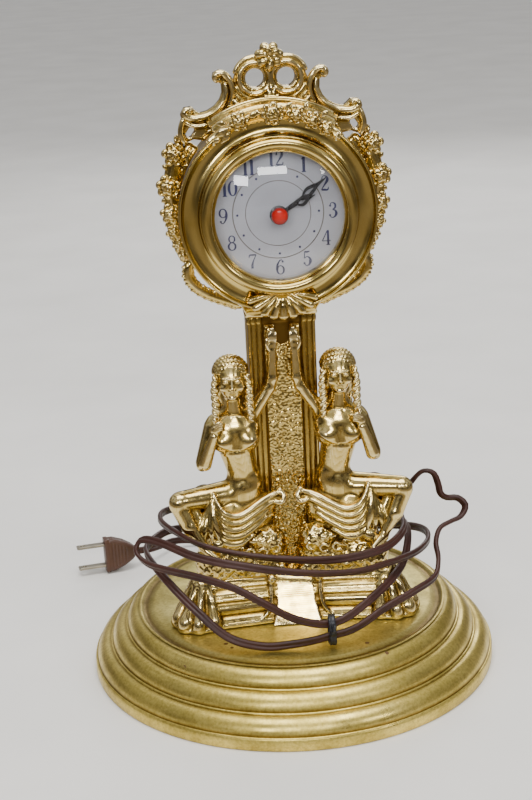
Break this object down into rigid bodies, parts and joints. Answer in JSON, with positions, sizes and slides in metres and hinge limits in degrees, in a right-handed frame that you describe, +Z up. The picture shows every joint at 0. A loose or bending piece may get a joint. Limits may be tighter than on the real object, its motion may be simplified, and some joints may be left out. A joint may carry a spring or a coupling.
{
  "type": "figural electric table clock",
  "caption": "Gilt electric table clock: round scroll-crested head on a pillar between seated dancers, on a turned round base, with its mains cord wound round it.",
  "frame": {"origin": "centre of the turned base's underside, on the surface that the clock stands on", "axes": "+Z up along the pillar; the dial faces -Y; +X to the right as the dial is read"},
  "size_m": [0.2236, 0.2542, 0.3184],
  "materials": {
    "gilt": "polished gold plate with browner recesses",
    "base_brass": "brushed, mottled brass plate with worn bright edges",
    "fibreboard": "pressed fibreboard",
    "green_felt": "green baize",
    "steel": "zinc-plated steel",
    "movement_brass": "satin clock brass",
    "motor_tape": "varnished paper tape",
    "crystal_glass": "clear domed glass",
    "dial_white": "printed matt dial",
    "black_paint": "black enamel",
    "red_jewel": "translucent red",
    "brown_rubber": "dark brown, slightly glossy",
    "plug_blade": "dull plated brass",
    "black_tie": "black"
  },
  "bodies": {
    "root": {"back_cover": "movement_brass", "back_cover_screw_1": "steel", "back_cover_screw_2": "steel", "back_cover_screw_3": "steel", "base_bottom_plate": "fibreboard", "base_shell": "base_brass", "bezel": "gilt", "clock_case": "gilt", "cord_strain_relief": "brown_rubber", "cord_tie": "black_tie", "core_laminations": "steel", "crest": "gilt", "crest_flower": "gilt", "crystal": "crystal_glass", "dial": "dial_white", "felt_pad": "green_felt", "figure_left": "gilt", "figure_right": "gilt", "flower_swag": "gilt", "garland_left": "gilt", "garland_right": "gilt", "internal_lead": "brown_rubber", "loop_left": "gilt", "loop_right": "gilt", "minute_wheel_stud": "steel", "motor_coil": "motor_tape", "mounting_screw_left": "steel", "mounting_screw_right": "steel", "movement_back_plate": "movement_brass", "movement_front_plate": "movement_brass", "movement_pillar_1": "movement_brass", "movement_pillar_2": "movement_brass", "movement_pillar_3": "movement_brass", "neck_screw": "steel", "pillar": "gilt", "plinth": "gilt", "plug_blade_lower": "plug_blade", "plug_blade_upper": "plug_blade", "plug_body": "brown_rubber", "power_cord": "brown_rubber", "rotor_unit": "movement_brass", "shell_ornament": "gilt", "washer_left": "steel", "washer_right": "steel"},
    "minute_hand_body": {"minute_hand": "black_paint", "minute_arbor": "movement_brass"},
    "hour_hand_body": {"hour_hand": "black_paint", "hour_wheel": "movement_brass"},
    "seconds_body": {"seconds_jewel": "red_jewel", "seconds_arbor": "movement_brass"},
    "minute_wheel_body": {"minute_wheel": "movement_brass"},
    "set_knob_body": {"set_knob": "movement_brass"},
    "motor_pinion_body": {"motor_pinion": "steel"}
  },
  "joints": [
    {"name": "minute_hand_turn", "type": "hinge", "parent": "root", "child": "minute_hand_body", "pos_m": [0, -0.015, 0.24], "axis": [0, 1, 0], "continuous": true},
    {"name": "hour_hand_turn", "type": "hinge", "parent": "root", "child": "hour_hand_body", "pos_m": [0, -0.015, 0.24], "axis": [0, 1, 0], "continuous": true},
    {"name": "seconds_jewel_turn", "type": "hinge", "parent": "root", "child": "seconds_body", "pos_m": [0, -0.015, 0.24], "axis": [0, 1, 0], "continuous": true},
    {"name": "minute_wheel_turn", "type": "hinge", "parent": "root", "child": "minute_wheel_body", "pos_m": [0.01131, -0.015, 0.22869], "axis": [0, 1, 0], "continuous": true},
    {"name": "set_knob_turn", "type": "hinge", "parent": "root", "child": "set_knob_body", "pos_m": [0.01131, -0.015, 0.21269], "axis": [0, 1, 0], "continuous": true},
    {"name": "motor_pinion_turn", "type": "hinge", "parent": "root", "child": "motor_pinion_body", "pos_m": [-0.01273, -0.015, 0.22727], "axis": [0, 1, 0], "continuous": true}
  ],
  "couplings": [
    {"joint": "hour_hand_turn", "follows": "minute_hand_turn", "ratio": 0.083333},
    {"joint": "minute_wheel_turn", "follows": "minute_hand_turn", "ratio": -0.33333},
    {"joint": "set_knob_turn", "follows": "minute_hand_turn", "ratio": 1},
    {"joint": "motor_pinion_turn", "follows": "seconds_jewel_turn", "ratio": -4}
  ]
}
